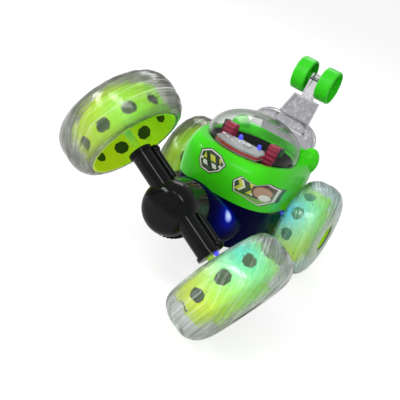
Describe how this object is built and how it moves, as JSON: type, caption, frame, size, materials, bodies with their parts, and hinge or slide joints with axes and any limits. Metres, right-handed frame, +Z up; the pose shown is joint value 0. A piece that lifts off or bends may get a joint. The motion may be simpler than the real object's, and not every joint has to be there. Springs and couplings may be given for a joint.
{
  "type": "radio controlled stunt car",
  "caption": "Radio-controlled tumbling stunt car: balloon-tyred wheels, a front axle unit that twists against the body, a domed cockpit and a raised tail with small roller wheels.",
  "frame": {"origin": "on the ground under the middle of the car's bounding box, the car standing on its two rear wheels and its left front wheel", "axes": "+X towards the front axle, +Y to the car's left, +Z up; the twist axis lies in the XZ plane's direction, nose up by about 12 degrees"},
  "size_m": [0.3308, 0.2298, 0.1954],
  "materials": {
    "clear_tyre": "clear flexible vinyl, glossy",
    "lime_hub": "translucent moulded plastic",
    "green_shell": "glossy moulded plastic",
    "green_wheel": "glossy moulded plastic",
    "clear_plastic": "clear moulded plastic",
    "blue_tub": "dark translucent moulded plastic",
    "black_plastic": "glossy moulded plastic",
    "grey_band": "ribbed, satin",
    "red_seat": "glossy moulded plastic",
    "silver_plastic": "silver-coloured plastic",
    "red_trim": "glossy",
    "printed_badge": "printed film",
    "steel": "drawn steel",
    "white_nylon": "moulded nylon",
    "motor_can": "plated steel",
    "cell_wrap": "printed sleeve",
    "brass": "plated",
    "board": "solder resist",
    "speaker_metal": "black",
    "led_blue": "clear blue epoxy"
  },
  "bodies": {
    "chassis": {"badges": "printed_badge", "battery_box": "black_plastic", "battery_cells": "cell_wrap", "battery_contacts": "brass", "battery_door": "black_plastic", "body_screws": "steel", "body_shell": "green_shell", "charging_socket": "black_plastic", "chassis_tub": "blue_tub", "circuit_board": "board", "cockpit_dome": "clear_plastic", "cockpit_leds": "led_blue", "cockpit_tray": "black_plastic", "dashboard": "silver_plastic", "dashboard_trim": "red_trim", "door_screws": "steel", "headlights": "led_blue", "rear_gearboxes": "white_nylon", "rear_motors": "motor_can", "rear_wheel_leds": "led_blue", "seat_panels": "black_plastic", "seats": "red_seat", "speaker": "speaker_metal", "switch_housing": "black_plastic", "tail_arm": "clear_plastic", "tail_pin": "steel", "twist_bush": "white_nylon"},
    "front_unit": {"drum_housing": "black_plastic", "drum_cap": "black_plastic", "drum_band": "grey_band", "front_arm_left": "black_plastic", "front_arm_right": "black_plastic", "front_plate": "white_nylon", "front_motor": "motor_can", "front_wheel_leds": "led_blue", "twist_clip": "steel"},
    "front_wheels": {"front_tyre_left": "clear_tyre", "front_tyre_right": "clear_tyre", "front_hub_left": "lime_hub", "front_hub_right": "lime_hub", "front_hub_caps": "lime_hub", "front_axle": "steel", "front_gear": "white_nylon"},
    "front_rotor": {"front_pinion": "steel"},
    "power_switch": {"switch_knob": "black_plastic"},
    "rear_wheel_left": {"rear_tyre_left": "clear_tyre", "rear_hub_left": "lime_hub", "rear_hub_cap_left": "lime_hub", "rear_axle_left": "steel", "rear_gear_left": "white_nylon"},
    "rear_rotor_left": {"rear_pinion_left": "steel"},
    "tail_wheel_left": {"tail_wheel_left": "green_wheel"},
    "rear_wheel_right": {"rear_tyre_right": "clear_tyre", "rear_hub_right": "lime_hub", "rear_hub_cap_right": "lime_hub", "rear_axle_right": "steel", "rear_gear_right": "white_nylon"},
    "rear_rotor_right": {"rear_pinion_right": "steel"},
    "tail_wheel_right": {"tail_wheel_right": "green_wheel"}
  },
  "joints": [
    {"name": "front_twist", "type": "hinge", "parent": "chassis", "child": "front_unit", "pos_m": [0.10432, -0.00298, 0.08263], "axis": [0.9792, 0, 0.2027], "continuous": true},
    {"name": "front_wheel_spin", "type": "hinge", "parent": "front_unit", "child": "front_wheels", "pos_m": [0.10303, 0, 0.08884], "axis": [0.0863, 0.9048, -0.4169], "continuous": true},
    {"name": "front_rotor_spin", "type": "hinge", "parent": "front_unit", "child": "front_rotor", "pos_m": [0.09628, -0.00361, 0.0796], "axis": [0.0863, 0.9048, -0.4169], "continuous": true},
    {"name": "rear_wheel_left_spin", "type": "hinge", "parent": "chassis", "child": "rear_wheel_left", "pos_m": [-0.08002, 0.07252, 0.0506], "axis": [0, 1, 0], "continuous": true},
    {"name": "rear_wheel_right_spin", "type": "hinge", "parent": "chassis", "child": "rear_wheel_right", "pos_m": [-0.08002, -0.07848, 0.0506], "axis": [0, 1, 0], "continuous": true},
    {"name": "rear_rotor_left_spin", "type": "hinge", "parent": "chassis", "child": "rear_rotor_left", "pos_m": [-0.07343, 0.02542, 0.06063], "axis": [0, 1, 0], "continuous": true},
    {"name": "rear_rotor_right_spin", "type": "hinge", "parent": "chassis", "child": "rear_rotor_right", "pos_m": [-0.07343, -0.03138, 0.06063], "axis": [0, 1, 0], "continuous": true},
    {"name": "tail_wheel_left_spin", "type": "hinge", "parent": "chassis", "child": "tail_wheel_left", "pos_m": [-0.14704, 0.01172, 0.17704], "axis": [0, 1, 0], "continuous": true},
    {"name": "tail_wheel_right_spin", "type": "hinge", "parent": "chassis", "child": "tail_wheel_right", "pos_m": [-0.14704, -0.01768, 0.17704], "axis": [0, 1, 0], "continuous": true},
    {"name": "power_switch_slide", "type": "slide", "parent": "chassis", "child": "power_switch", "axis": [0, 1, 0], "range_m": [0, 0.004]}
  ],
  "couplings": [
    {"joint": "front_rotor_spin", "follows": "front_wheel_spin", "ratio": -3},
    {"joint": "rear_rotor_left_spin", "follows": "rear_wheel_left_spin", "ratio": -3},
    {"joint": "rear_rotor_right_spin", "follows": "rear_wheel_right_spin", "ratio": -3}
  ]
}
